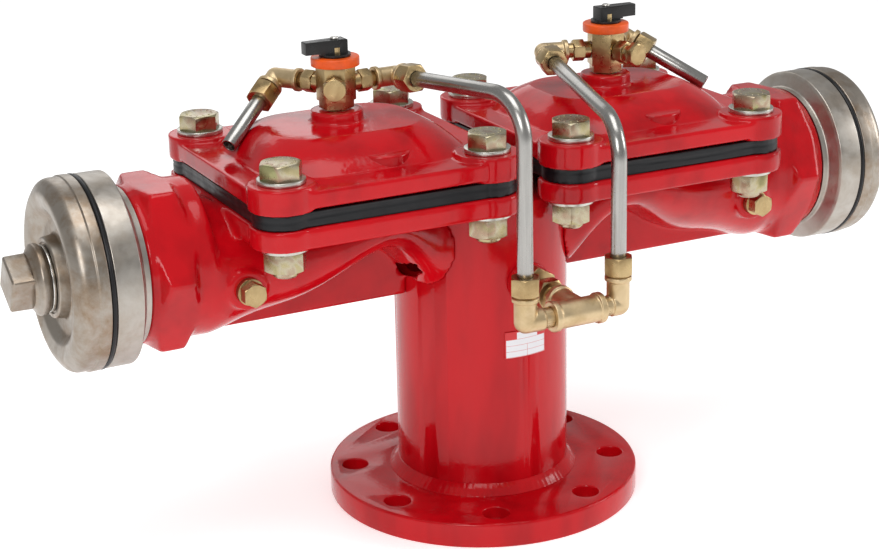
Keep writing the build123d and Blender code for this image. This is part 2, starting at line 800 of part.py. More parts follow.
def save_selectors():
    nuts = []
    ferrules = []
    for side, x, ports, drop_x, top_z, leg in (
            ("left", bonnet_boss_dx - valve_x, left_ports, tee_left_x, left_bend_z, left_supply_leg),
            ("right", bonnet_boss_dx + valve_x, right_ports, tee_right_x, right_bend_z, right_supply_leg)):
        lever = ports["lever"]
        save("selector_body_" + side, make_selector_body(x, ports))
        save("selector_ring_" + side, make_ring(x))
        save("selector_rotor_" + side, make_rotor(x, lever))
        save("selector_knob_" + side, make_knob(x, lever))
        save("knob_screw_" + side, make_knob_screw(x))
        save("port_plug_" + side, make_port_plug(x, ports))
        save("port_nipples_" + side, make_nipple(x, ports["control"]), make_nipple(x, ports["exhaust"]))

        corner, bend, foot = control_line(x, ports, drop_x, top_z, leg)
        run = (bend - corner).normalized()
        back = heading(ports["control"]) * -1
        save("control_elbow_" + side, make_elbow(
            corner, control_corner - nipple_end + nipple_entry, back, run))
        mouth = corner + run * elbow_leg
        start = corner + run * (elbow_leg - socket_depth + 0.3)
        end = foot - Vector(0, 0, socket_depth - 0.3)
        save("control_tube_" + side, tube([start, bend, end], tube_bend_r, tube_od, tube_id))

        outer = port_point(x, ports["exhaust"], exhaust_corner)
        aim = heading(ports["exhaust"] + ports["exhaust_turn"], ports["exhaust_dip"])
        back = heading(ports["exhaust"]) * -1
        save("exhaust_elbow_" + side, make_elbow(
            outer, exhaust_corner - nipple_end + nipple_entry, back, aim))
        exhaust_mouth = outer + aim * elbow_leg
        exhaust_start = outer + aim * (elbow_leg - socket_depth + 0.3)
        save("exhaust_tube_" + side, tube(
            [exhaust_start, outer + aim * ports["exhaust_length"]], 0, tube_od, tube_id))
        up = Vector(0, 0, 1)
        for place, direction in ((mouth, run), (exhaust_mouth, aim), (foot, up)):
            nuts.append(make_tube_nut(place, direction))
            ferrules.append(make_ferrule(place, direction))
    save("compression_nuts", *nuts)
    save("compression_ferrules", *ferrules)
    save("supply_tee", make_supply_tee())
    save("supply_nipple", make_supply_nipple())
    save("supply_elbow_left", make_supply_elbow(tee_left_x, -1, left_supply_leg))
    save("supply_elbow_right", make_supply_elbow(tee_right_x, 1, right_supply_leg))


os.makedirs("parts", exist_ok=True)
if __name__ == "__main__":
    save_riser()
    save_valves()
    save_selectors()
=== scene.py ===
"""Builds the finished look of a twin-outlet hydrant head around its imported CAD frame."""

import json
import math

import bmesh
import bpy
from bpy.props import FloatProperty, FloatVectorProperty, IntProperty, PointerProperty
from mathutils import Matrix, Vector, noise

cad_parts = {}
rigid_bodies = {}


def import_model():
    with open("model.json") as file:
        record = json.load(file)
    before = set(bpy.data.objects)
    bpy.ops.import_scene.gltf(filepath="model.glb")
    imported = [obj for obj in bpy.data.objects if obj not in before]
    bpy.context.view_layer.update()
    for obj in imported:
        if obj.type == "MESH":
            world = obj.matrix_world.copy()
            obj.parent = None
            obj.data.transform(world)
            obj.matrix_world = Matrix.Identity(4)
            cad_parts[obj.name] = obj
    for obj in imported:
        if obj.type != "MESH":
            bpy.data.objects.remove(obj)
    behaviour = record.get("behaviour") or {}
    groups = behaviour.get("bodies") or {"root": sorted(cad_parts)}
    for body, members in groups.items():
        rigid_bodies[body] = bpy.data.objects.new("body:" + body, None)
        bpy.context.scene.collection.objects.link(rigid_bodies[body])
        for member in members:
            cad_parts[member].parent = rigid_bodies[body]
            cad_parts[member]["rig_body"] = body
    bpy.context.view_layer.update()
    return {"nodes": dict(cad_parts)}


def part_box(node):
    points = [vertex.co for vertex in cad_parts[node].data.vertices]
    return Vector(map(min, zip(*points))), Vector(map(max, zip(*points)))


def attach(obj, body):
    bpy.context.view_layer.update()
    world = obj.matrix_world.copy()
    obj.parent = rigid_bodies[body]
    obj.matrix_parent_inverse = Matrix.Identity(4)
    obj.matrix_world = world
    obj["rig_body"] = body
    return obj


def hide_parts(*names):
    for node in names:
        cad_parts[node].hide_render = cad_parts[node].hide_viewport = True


bl_info = {
    "name": "Twin-outlet hydrant head",
    "version": (1, 0, 0),
    "blender": (4, 5, 0),
    "location": "View3D > Sidebar > Hydrant",
    "description": "Finishes a hydrant head with two diaphragm valves and capped outlets",
    "category": "Object",
}

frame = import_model()

SIDES = {"left": -1.0, "right": 1.0}
# headings, in degrees from +X, of the two ports of each selector that carry an elbow
PORT_HEADINGS = {"left": (3.5, 123.5), "right": (164.0, 44.0)}
MM = 0.001


# ---------------------------------------------------------------- settings

class HydrantPaint(bpy.types.PropertyGroup):
    """Red enamel over castings and welded steel"""

    enamel: FloatVectorProperty(
        name="Enamel", description="Colour of the red enamel", subtype="COLOR",
        default=(0.50, 0.0025, 0.007), min=0, max=1)
    enamel_deep: FloatVectorProperty(
        name="Thick enamel", description="Colour where the enamel has run thick", subtype="COLOR",
        default=(0.36, 0.0015, 0.005), min=0, max=1)
    peel: FloatProperty(
        name="Orange peel", description="Height of the enamel's fine ripple", unit="LENGTH",
        default=0.00012, min=0)
    casting_waves: FloatProperty(
        name="Casting waves", description="Height of the sand casting's slow unevenness", unit="LENGTH",
        default=0.0009, min=0)


class HydrantMetals(bpy.types.PropertyGroup):
    """Bare metals and plastics"""

    brass: FloatVectorProperty(
        name="Brass", description="Colour of machined brass", subtype="COLOR",
        default=(0.50, 0.37, 0.19), min=0, max=1)
    brass_cast: FloatVectorProperty(
        name="Cast brass", description="Colour of tumbled cast brass", subtype="COLOR",
        default=(0.62, 0.48, 0.29), min=0, max=1)
    stainless: FloatVectorProperty(
        name="Stainless steel", description="Colour of blasted stainless steel", subtype="COLOR",
        default=(0.44, 0.41, 0.37), min=0, max=1)
    stainless_dark: FloatVectorProperty(
        name="Tarnished stainless", description="Colour of the caps' heat-tinted stainless steel",
        subtype="COLOR", default=(0.37, 0.33, 0.285), min=0, max=1)
    zinc: FloatVectorProperty(
        name="Bright zinc", description="Colour of bright zinc plating", subtype="COLOR",
        default=(0.56, 0.55, 0.50), min=0, max=1)
    index_ring: FloatVectorProperty(
        name="Index ring", description="Colour of the moulded index rings", subtype="COLOR",
        default=(0.86, 0.11, 0.012), min=0, max=1)


class HydrantShapes(bpy.types.PropertyGroup):
    """Sizes that shape the pieces"""

    body_grain: FloatProperty(
        name="Valve body grain", description="Mesh size of the cast valve bodies", unit="LENGTH",
        default=0.0016, min=0.001)
    bonnet_grain: FloatProperty(
        name="Bonnet grain", description="Mesh size of the cast bonnets", unit="LENGTH",
        default=0.0011, min=0.0008)
    fitting_grain: FloatProperty(
        name="Fitting grain", description="Mesh size of the small cast fittings", unit="LENGTH",
        default=0.00045, min=0.0003)
    round_steps: IntProperty(
        name="Round steps", description="Segments round a large turned piece", default=144, min=48)
    head_marks: IntProperty(
        name="Head marks", description="Raised dots on each bolt head", default=12, min=0)


class HydrantStage(bpy.types.PropertyGroup):
    """Floor, light and camera"""

    floor: FloatVectorProperty(
        name="Floor", description="Colour of the floor", subtype="COLOR",
        default=(0.97, 0.97, 0.97), min=0, max=1)
    air_light: FloatProperty(
        name="Air light", description="Strength of the even light from all round", default=0.42, min=0)
    place: FloatVectorProperty(
        name="Place", description="Camera position", subtype="TRANSLATION", unit="LENGTH",
        default=(-0.5920, -1.12725, 0.58366))
    azimuth: FloatProperty(
        name="Azimuth", description="Camera heading round the hydrant", subtype="ANGLE",
        default=math.radians(-26.456))
    elevation: FloatProperty(
        name="Elevation", description="Camera height angle", subtype="ANGLE",
        default=math.radians(18.655))
    roll: FloatProperty(
        name="Roll", description="Camera roll", subtype="ANGLE", default=math.radians(-1.204))
    lens: FloatProperty(name="Lens", description="Focal length in millimetres", default=80.52, min=10)


# ---------------------------------------------------------------- materials

class Recipe:
    """A node material put together step by step."""

    def __init__(self, name, **fixed):
        self.material = bpy.data.materials.new(name)
        self.material.use_nodes = True
        self.tree = self.material.node_tree
        self.tree.nodes.clear()
        self.shader = self.tree.nodes.new("ShaderNodeBsdfPrincipled")
        output = self.tree.nodes.new("ShaderNodeOutputMaterial")
        self.tree.links.new(self.shader.outputs["BSDF"], output.inputs["Surface"])
        self.place = self.tree.nodes.new("ShaderNodeTexCoord").outputs["Object"]
        self.normal = None
        for socket, value in fixed.items():
            self.shader.inputs[socket.replace("_", " ")].default_value = value

    def stretched(self, scale):
        """Object coordinates scaled apart along the three axes."""
        node = self.tree.nodes.new("ShaderNodeMapping")
        node.inputs["Scale"].default_value = scale
        self.tree.links.new(self.place, node.inputs["Vector"])
        return node.outputs["Vector"]

    def grain(self, per_metre, detail=2.0, rough=0.5, place=None, warp=0.0):
        """Noise with a given number of cells to the metre."""
        node = self.tree.nodes.new("ShaderNodeTexNoise")
        node.inputs["Scale"].default_value = per_metre
        node.inputs["Detail"].default_value = detail
        node.inputs["Roughness"].default_value = rough
        node.inputs["Distortion"].default_value = warp
        self.tree.links.new(place or self.place, node.inputs["Vector"])
        return node.outputs["Fac"]

    def ramp(self, source, *stops):
        """Colour ramp; stops are (position, colour)."""
        node = self.tree.nodes.new("ShaderNodeValToRGB")
        self.tree.links.new(source, node.inputs["Fac"])
        while len(node.color_ramp.elements) < len(stops):
            node.color_ramp.elements.new(0.5)
        for element, (position, colour) in zip(node.color_ramp.elements, stops):
            element.position = position
            element.color = (*colour, 1.0)
        return node.outputs["Color"]

    def spread(self, source, low, high):
        """Maps a noise, most of which lies in its middle, to a range of values."""
        noise_low, noise_high = 0.3, 0.7
        node = self.tree.nodes.new("ShaderNodeMapRange")
        node.inputs["From Min"].default_value = noise_low
        node.inputs["From Max"].default_value = noise_high
        node.inputs["To Min"].default_value = low
        node.inputs["To Max"].default_value = high
        self.tree.links.new(source, node.inputs["Value"])
        return node.outputs["Result"]

    def bump(self, source, height, strength=1.0):
        """Adds relief of a real height, in metres, on top of any relief already there."""
        node = self.tree.nodes.new("ShaderNodeBump")
        node.inputs["Distance"].default_value = height
        node.inputs["Strength"].default_value = strength
        self.tree.links.new(source, node.inputs["Height"])
        if self.normal:
            self.tree.links.new(self.normal, node.inputs["Normal"])
        self.normal = node.outputs["Normal"]

    def done(self, colour=None, roughness=None):
        """Links the shader and returns the material."""
        if colour:
            self.tree.links.new(colour, self.shader.inputs["Base Color"])
        if roughness:
            self.tree.links.new(roughness, self.shader.inputs["Roughness"])
        if self.normal:
            self.tree.links.new(self.normal, self.shader.inputs["Normal"])
        return self.material


def enamel(name, waves, streak):
    """Thick glossy red enamel; streak stretches its runs downwards."""
    paint = bpy.context.scene.hydrant_paint
    recipe = Recipe(name, Coat_Weight=0.0, Specular_IOR_Level=0.30)
    runs = recipe.grain(28, 3, 0.6, recipe.stretched((1, 1, streak)))
    thin = tuple(min(1, c * 1.12) for c in paint.enamel)
    colour = recipe.ramp(
        runs, (0.30, tuple(paint.enamel_deep)), (0.52, tuple(paint.enamel)), (0.80, thin))
    recipe.bump(recipe.grain(45, 2, 0.5, recipe.stretched((1, 1, streak))), waves, 0.5)
    recipe.bump(recipe.grain(420, 1, 0.4), paint.peel, 0.55)
    return recipe.done(colour, recipe.spread(recipe.grain(90, 2), 0.09, 0.17))


def plain_metal(name, colour, roughness, speckle=900.0, height=0.00003, stain=None):
    """Bare metal with fine tooth and faint staining."""
    recipe = Recipe(name, Metallic=1.0)
    colour = tuple(colour)
    stain = stain or tuple(c * 0.84 for c in colour)
    patches = recipe.grain(38, 5, 0.7, warp=0.3)
    light = tuple(min(1, c * 1.08) for c in colour)
    base = recipe.ramp(patches, (0.35, stain), (0.56, colour), (0.85, light))
    recipe.bump(recipe.grain(speckle, 2, 0.6), height, 0.6)
    return recipe.done(base, recipe.spread(recipe.grain(160, 3), roughness - 0.07, roughness + 0.09))


def yellow_zinc(name):
    """Iridescent yellow chromate on zinc."""
    recipe = Recipe(name, Metallic=1.0)
    drift = recipe.grain(60, 2, 0.5, warp=0.6)
    colour = recipe.ramp(
        drift, (0.30, (0.27, 0.24, 0.12)), (0.42, (0.42, 0.36, 0.20)), (0.50, (0.46, 0.41, 0.29)),
        (0.60, (0.38, 0.27, 0.19)), (0.72, (0.34, 0.33, 0.16)))
    recipe.bump(recipe.grain(700, 2), 0.00003, 0.6)
    return recipe.done(colour, recipe.spread(recipe.grain(220, 3), 0.20, 0.36))


def moulded(name, colour, roughness, height=0.00005, grain=1200.0):
    """Moulded rubber or plastic with a faint tooth and handling marks."""
    recipe = Recipe(name, Specular_IOR_Level=0.35)
    patches = recipe.grain(70, 4, 0.65)
    base = recipe.ramp(patches, (0.35, tuple(c * 0.75 for c in colour)), (0.65, tuple(colour)))
    recipe.bump(recipe.grain(grain, 2), height, 0.5)
    return recipe.done(base, recipe.spread(recipe.grain(120, 3), roughness - 0.08, roughness + 0.1))


def drawn_tube(name, colour):
    """Drawn stainless tube with fine lengthwise lines."""
    recipe = Recipe(name, Metallic=1.0, Anisotropic=0.4)
    lines = recipe.grain(900, 2, 0.6, recipe.stretched((1, 1, 0.04)))
    base = recipe.ramp(lines, (0.3, tuple(c * 0.85 for c in colour)), (0.7, tuple(colour)))
    recipe.bump(lines, 0.00001, 0.4)
    return recipe.done(base, recipe.spread(recipe.grain(60, 3), 0.22, 0.32))


def label_card(name, low, high):
    """Printed plate: a red header over a plain grid, with no lettering."""
    recipe = Recipe(name, Roughness=0.35)
    split = recipe.tree.nodes.new("ShaderNodeSeparateXYZ")
    recipe.tree.links.new(recipe.place, split.inputs["Vector"])

    def band(axis, start, end):
        """1 between two places along an axis, 0 elsewhere."""
        node = recipe.tree.nodes.new("ShaderNodeMath")
        node.operation = "COMPARE"
        node.inputs[1].default_value = (start + end) / 2
        node.inputs[2].default_value = (end - start) / 2
        recipe.tree.links.new(split.outputs[axis], node.inputs[0])
        return node.outputs["Value"]

    def combined(operation, first, second):
        """Two masks made one: MAXIMUM shows either, MINIMUM only where both are."""
        node = recipe.tree.nodes.new("ShaderNodeMath")
        node.operation = operation
        recipe.tree.links.new(first, node.inputs[0])
        recipe.tree.links.new(second, node.inputs[1])
        return node.outputs["Value"]

    height = high.z - low.z
    width = high.x - low.x
    line = 0.0002
    border = 0.0008
    head_share = 0.70
    blank_from, blank_to = 0.27, 0.78
    grid_top = 0.47
    column_x = low.x + 0.52 * width
    header = band("Z", low.z + head_share * height, high.z)
    sides = combined(
        "MAXIMUM", band("X", low.x - border, low.x + blank_from * width),
        band("X", low.x + blank_to * width, high.x))
    mask = combined(
        "MAXIMUM", combined("MINIMUM", header, sides), band("Z", high.z - border, high.z + border))
    for share in (0.03, 0.25, grid_top, head_share):
        level = low.z + share * height
        mask = combined("MAXIMUM", mask, band("Z", level, level + line))
    column = combined(
        "MINIMUM", band("X", column_x, column_x + line), band("Z", low.z, low.z + grid_top * height))
    frame_bands = (
        column, band("X", low.x - border, low.x + border), band("X", high.x - border, high.x + border),
        band("Z", low.z - border, low.z + 0.5 * border))
    for part in frame_bands:
        mask = combined("MAXIMUM", mask, part)
    colour = recipe.ramp(mask, (0.0, (0.74, 0.75, 0.78)), (1.0, (0.56, 0.02, 0.025)))
    recipe.bump(recipe.grain(300, 2), 0.00002, 0.4)
    return recipe.done(colour)


def finishes():
    """Every material by name, made once."""
    if "enamel on casting" in bpy.data.materials:
        return bpy.data.materials
    paint = bpy.context.scene.hydrant_paint
    metals = bpy.context.scene.hydrant_metals
    enamel("enamel on casting", paint.casting_waves, 0.8)
    enamel("enamel on steel", paint.casting_waves * 0.45, 0.25)
    plain_metal("machined brass", metals.brass, 0.30, stain=(0.36, 0.25, 0.12))
    plain_metal("cast brass", metals.brass_cast, 0.42, 1100, 0.00009, (0.50, 0.37, 0.20))
    plain_metal("blasted stainless", metals.stainless, 0.38, 1500, 0.00008, (0.37, 0.325, 0.275))
    plain_metal("tarnished stainless", metals.stainless_dark, 0.36, 1500, 0.00008, (0.27, 0.20, 0.14))
    plain_metal("bright zinc", metals.zinc, 0.30)
    plain_metal("bright steel", (0.68, 0.66, 0.62), 0.22)
    plain_metal("spring wire", (0.50, 0.50, 0.50), 0.30)
    plain_metal("coated iron", (0.16, 0.16, 0.17), 0.50, 600, 0.00015)
    yellow_zinc("yellow zinc")
    drawn_tube("drawn stainless", (0.40, 0.39, 0.37))
    moulded("diaphragm rubber", (0.004, 0.0045, 0.006), 0.40, 0.00012, 500)
    moulded("seal rubber", (0.003, 0.003, 0.004), 0.34)
    moulded("orange moulding", metals.index_ring, 0.36)
    moulded("black moulding", (0.012, 0.012, 0.012), 0.30)
    return bpy.data.materials


# ---------------------------------------------------------------- mesh helpers

def new_piece(name, mesh):
    """Puts a mesh in the scene as a piece at the origin."""
    piece = bpy.data.objects.new(name, mesh)
    bpy.context.scene.collection.objects.link(piece)
    return piece


def from_bmesh(name, bm):
    """Closes a bmesh into a piece with outward normals."""
    bmesh.ops.recalc_face_normals(bm, faces=bm.faces)
    mesh = bpy.data.meshes.new(name)
    bm.to_mesh(mesh)
    bm.free()
    return new_piece(name, mesh)


def welded_copy(node):
    """A node's mesh as a bmesh whose loose triangles are joined."""
    bm = bmesh.new()
    bm.from_mesh(frame["nodes"][node].data)
    bmesh.ops.remove_doubles(bm, verts=bm.verts, dist=1e-6)
    bmesh.ops.dissolve_degenerate(bm, edges=bm.edges, dist=1e-7)
    return bm


def shade(piece, angle=35.0):
    """Smooth shading that keeps edges sharper than an angle."""
    for face in piece.data.polygons:
        face.use_smooth = True
    piece.data.set_sharp_from_angle(angle=math.radians(angle))


def dress(piece, material, node, replaced=()):
    """Gives a piece its material, lets it ride on its node's body and stand for nodes."""
    piece.data.materials.clear()
    piece.data.materials.append(finishes()[material])
    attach(piece, frame["nodes"][node]["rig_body"])
    if replaced:
        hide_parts(*replaced)
    return piece


def baked(piece):
    """Applies a piece's modifiers."""
    bpy.context.view_layer.update()
    shape = piece.evaluated_get(bpy.context.evaluated_depsgraph_get())
    mesh = bpy.data.meshes.new_from_object(shape)
    piece.modifiers.clear()
    piece.data = mesh
    return piece


def cast_piece(node, grain, material, passes):
    """A cast copy of a node: soft edges and filled corners everywhere."""
    piece = from_bmesh(node + "_cast", welded_copy(node))
    remesh = piece.modifiers.new("grain", "REMESH")
    remesh.mode = "VOXEL"
    remesh.voxel_size = grain
    smooth = piece.modifiers.new("soften", "SMOOTH")
    smooth.factor = 0.5
    smooth.iterations = passes
    baked(piece)
    for face in piece.data.polygons:
        face.use_smooth = True
    return dress(piece, material, node, [node])


def machined_piece(node, material, edge, steps, angle=25.0):
    """A machined copy of a node whose edges sharper than an angle are broken."""
    bm = welded_copy(node)
    flat = math.radians(0.6)
    bmesh.ops.dissolve_limit(bm, angle_limit=flat, verts=bm.verts, edges=bm.edges)
    limit = math.radians(angle)
    sharp = [e for e in bm.edges if len(e.link_faces) == 2 and e.calc_face_angle(0) > limit]
    bmesh.ops.bevel(bm, geom=sharp, offset=edge, offset_type="OFFSET", segments=steps,
                    profile=0.5, affect="EDGES", clamp_overlap=True, material=-1)
    piece = from_bmesh(node + "_finished", bm)
    shade(piece)
    return dress(piece, material, node, [node])


def rounded(corners):
    """Outline through corners (along, out, fillet) with an arc at each filleted corner."""
    arc_step = math.radians(12)
    points = []
    count = len(corners)
    for i, (a, r, fillet) in enumerate(corners):
        corner = Vector((a, r))
        if not fillet:
            points.append(corner)
            continue
        before = (Vector(corners[i - 1][:2]) - corner).normalized()
        after = (Vector(corners[(i + 1) % count][:2]) - corner).normalized()
        half = before.angle(after) / 2
        reach = fillet / math.tan(half)
        centre = corner + (before + after).normalized() * (fillet / math.sin(half))
        start = corner + before * reach - centre
        end = corner + after * reach - centre
        turn = math.pi - 2 * half
        if start.x * end.y - start.y * end.x < 0:
            turn = -turn
        steps = max(2, math.ceil(abs(turn) / arc_step))
        for k in range(steps + 1):
            angle = turn * k / steps
            points.append(centre + Matrix.Rotation(angle, 2) @ start)
    return points


def spun(name, outline, origin, axis, steps):
    """Turns a closed outline of (along, out) points, in millimetres, about an axis."""
    bm = bmesh.new()
    axis = Vector(axis)
    out = axis.orthogonal().normalized()
    ring = [bm.verts.new(Vector(origin) + axis * (p[0] * MM) + out * (p[1] * MM)) for p in outline]
    edges = [bm.edges.new((ring[i], ring[(i + 1) % len(ring)])) for i in range(len(ring))]
    bmesh.ops.spin(bm, geom=ring + edges, cent=origin, axis=axis, angle=2 * math.pi, steps=steps,
                   use_merge=True, use_duplicate=False)
    bmesh.ops.remove_doubles(bm, verts=bm.verts, dist=1e-7)
    return from_bmesh(name, bm)


def helix_ridge(bm, origin, axis, radius, pitch, length, depth):
    """Adds a screw thread's ridge to a bmesh, starting at origin, sizes in metres."""
    axis = Vector(axis).normalized()
    out = axis.orthogonal().normalized()
    steps_per_turn = 24
    steps = round(length / pitch * steps_per_turn)
    base = Vector(origin)
    # corners of the ridge: shares of the pitch along the axis, and of the depth outwards
    corners = ((-0.45, -0.3), (0.0, 1.0), (0.45, -0.3))
    verts = [bm.verts.new(base + axis * (pitch * a) + out * (radius + depth * d)) for a, d in corners]
    face = bm.faces.new(verts)
    bmesh.ops.spin(bm, geom=[face] + list(face.edges) + verts, cent=base, axis=axis,
                   dvec=axis * (pitch / steps_per_turn), angle=steps * 2 * math.pi / steps_per_turn,
                   steps=steps, use_merge=False, use_duplicate=True)


def joined(name, pieces):
    """One piece from several that share a material."""
    bm = bmesh.new()
    for piece in pieces:
        bm.from_mesh(piece.data)
        bpy.data.objects.remove(piece)
    mesh = bpy.data.meshes.new(name)
    bm.to_mesh(mesh)
    bm.free()
    return new_piece(name, mesh)


def keep_node(node, material):
    """Leaves a node's own mesh showing, with a better material."""
    target = frame["nodes"][node]
    target.data.materials.clear()
    target.data.materials.append(finishes()[material])


def middle(node):
    """Centre of a node's box."""
    low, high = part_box(node)
    return (low + high) / 2


# ---------------------------------------------------------------- operators

class HYDRANT_OT_riser(bpy.types.Operator):
    """Flange, riser, weld and tapping boss in red enamel, and the printed plate"""

    bl_idname = "hydrant.riser"
    bl_label = "Riser"

    def execute(self, context):
        shapes = context.scene.hydrant_shapes
        machined_piece("inlet_flange", "enamel on steel", 1.1 * MM, 3)
        machined_piece("riser_pipe", "enamel on steel", 0.3 * MM, 1)
        self.weld(shapes)
        cast_piece("tapping_boss", 0.8 * MM, "enamel on steel", 3)
        keep_node("riser_end_plate", "enamel on steel")
        low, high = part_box("name_plate")
        label_card("printed plate", low, high)
        machined_piece("name_plate", "printed plate", 0.15 * MM, 1)
        return {"FINISHED"}

    def weld(self, shapes):
        """Fillet weld between riser and flange: overlapping ripples under thick enamel."""
        low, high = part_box("flange_weld")
        riser_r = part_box("riser_pipe")[1].x / MM
        base = low.z / MM
        leg = (high.x / MM - riser_r)
        sunk = 0.6
        outline = rounded([
            (base - sunk, riser_r - sunk, 0), (base - 0.4, riser_r + leg, 0.5),
            (base + 1.5, riser_r + 0.75 * leg, 1.2), (base + 0.62 * leg, riser_r + 0.42 * leg, 2.0),
            (base + leg, riser_r + 0.3, 0.4), (base + leg, riser_r - sunk, 0)])
        bead = spun("flange_weld_bead", outline, (0, 0, 0), (0, 0, 1), 4 * shapes.round_steps)
        ripples = 96
        lumps_per_metre = 70
        for vert in bead.data.vertices:
            angle = math.atan2(vert.co.y, vert.co.x)
            out = math.hypot(vert.co.x, vert.co.y) / MM - riser_r
            if out > 0.35 and vert.co.z / MM > base:
                lump = noise.noise(vert.co * lumps_per_metre)
                swing = 0.10 * math.sin(ripples * angle + 0.25 * out) + 0.8 * lump
                vert.co.xy *= 1 + 0.4 * swing / riser_r
                vert.co.z += 0.3 * swing * MM * min(1, out / leg)
        shade(bead, 60)
        dress(bead, "enamel on steel", "flange_weld", ["flange_weld"])


class HYDRANT_OT_valve_bodies(bpy.types.Operator):
    """The two cast valve bodies with their hexagonal outlets, webs and drain plugs"""

    bl_idname = "hydrant.valve_bodies"
    bl_label = "Valve bodies"

    def execute(self, context):
        shapes = context.scene.hydrant_shapes
        for side in SIDES:
            cast_piece("valve_body_" + side, shapes.body_grain, "enamel on casting", 5)
        machined_piece("drain_plugs", "machined brass", 0.25 * MM, 2)
        return {"FINISHED"}


class HYDRANT_OT_bonnets(bpy.types.Operator):
    """The two cast bonnets with their domes, pads and bosses"""

    bl_idname = "hydrant.bonnets"
    bl_label = "Bonnets"

    def execute(self, context):
        shapes = context.scene.hydrant_shapes
        for side in SIDES:
            cast_piece("bonnet_" + side, shapes.bonnet_grain, "enamel on casting", 3)
            self.pad(side)
        return {"FINISHED"}

    def pad(self, side):
        """Round cast pad that stands on the front slope of a dome."""
        centre = middle("bonnet_" + side)
        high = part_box("bonnet_" + side)[1]
        below_boss, thick = 17.3, 9.0
        foot_r, top_r, edge = 17.8, 17.2, 1.6
        shift_x, shift_y = 7.5, 48.5
        top = high.z / MM - below_boss
        foot = top - thick
        outline = rounded([(foot, 0, 0), (foot, foot_r, 0), (top, top_r, edge), (top, 0, 0)])
        place = (centre.x + shift_x * MM, centre.y - shift_y * MM, 0)
        piece = spun("dome_pad_" + side, outline, place, (0, 0, 1), 72)
        shade(piece, 50)
        dress(piece, "enamel on casting", "bonnet_" + side)


class HYDRANT_OT_diaphragms(bpy.types.Operator):
    """Clamped rubber rims, moving dishes, plates and closing springs"""

    bl_idname = "hydrant.diaphragms"
    bl_label = "Diaphragms"

    def execute(self, context):
        for side in SIDES:
            self.rim("diaphragm_rim_" + side)
            keep_node("diaphragm_" + side, "diaphragm rubber")
            keep_node("diaphragm_plate_" + side, "coated iron")
            keep_node("closing_spring_" + side, "spring wire")
        return {"FINISHED"}

    def rim(self, node):
        """Rubber squeezed unevenly between the flanges, with its moulding line."""
        centre = middle(node)
        low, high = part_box(node)
        piece = cast_piece(node, 1.0 * MM, "diaphragm rubber", 2)
        half = (high.z - low.z) / 2
        clamped_r = 60 * MM
        waves_per_metre = 16
        hollow, groove = 1.6 * MM, 0.5 * MM
        for vert in piece.data.vertices:
            level = (vert.co.z - centre.z) / half
            out = Vector((vert.co.x - centre.x, vert.co.y, 0))
            if out.length < clamped_r or abs(level) > 0.93:
                continue
            wave = noise.noise(Vector((vert.co.x * waves_per_metre, vert.co.y * waves_per_metre, 3.0)))
            line = math.exp(-((level - 0.25 - 0.3 * wave) / 0.1) ** 2)
            shift = -hollow * max(0, wave + 0.25) - groove * line
            vert.co += out.normalized() * shift


class HYDRANT_OT_fasteners(bpy.types.Operator):
    """Bonnet bolts with head marks and threads, washers and nuts"""

    bl_idname = "hydrant.fasteners"
    bl_label = "Bonnet bolts"

    def execute(self, context):
        shapes = context.scene.hydrant_shapes
        machined_piece("bonnet_bolts", "yellow zinc", 0.35 * MM, 2)
        machined_piece("bonnet_washers", "bright zinc", 0.35 * MM, 2)
        machined_piece("bonnet_nuts", "yellow zinc", 0.35 * MM, 2)
        low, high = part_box("bonnet_bolts")
        pitch = 2.0 * MM
        thread_r = 7.75 * MM
        ridge = 0.45 * MM
        mark_circle_r = 8.4 * MM
        mark_r = 0.75 * MM
        flattened = Matrix.Diagonal((1, 1, 0.45, 1))
        marks = bmesh.new()
        threads = bmesh.new()
        for x, y in self.places():
            for i in range(shapes.head_marks):
                angle = 2 * math.pi * i / shapes.head_marks
                spot = Vector((x + mark_circle_r * math.cos(angle), y + mark_circle_r * math.sin(angle),
                               high.z + 0.02 * MM))
                bmesh.ops.create_uvsphere(marks, u_segments=8, v_segments=4, radius=mark_r,
                                          matrix=Matrix.Translation(spot) @ flattened)
            helix_ridge(threads, (x, y, low.z + 1.8 * MM), (0, 0, 1), thread_r, pitch, 3 * pitch, ridge)
        for name, bm in (("bolt_head_marks", marks), ("bolt_threads", threads)):
            piece = from_bmesh(name, bm)
            shade(piece, 40)
            dress(piece, "yellow zinc", "bonnet_bolts")
        return {"FINISHED"}

    def places(self):
        """Centres of the eight bolts, from the box round all of them."""
        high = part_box("bonnet_bolts")[1]
        half_flats, half_corners = 12, 13.8564
        reach_y = high.y - half_flats * MM
        outer = high.x - half_corners * MM
        valve = middle("bonnet_right").x
        inner = 2 * valve - outer
        return [(sx * x, sy * reach_y) for sx in (-1, 1) for sy in (-1, 1) for x in (inner, outer)]


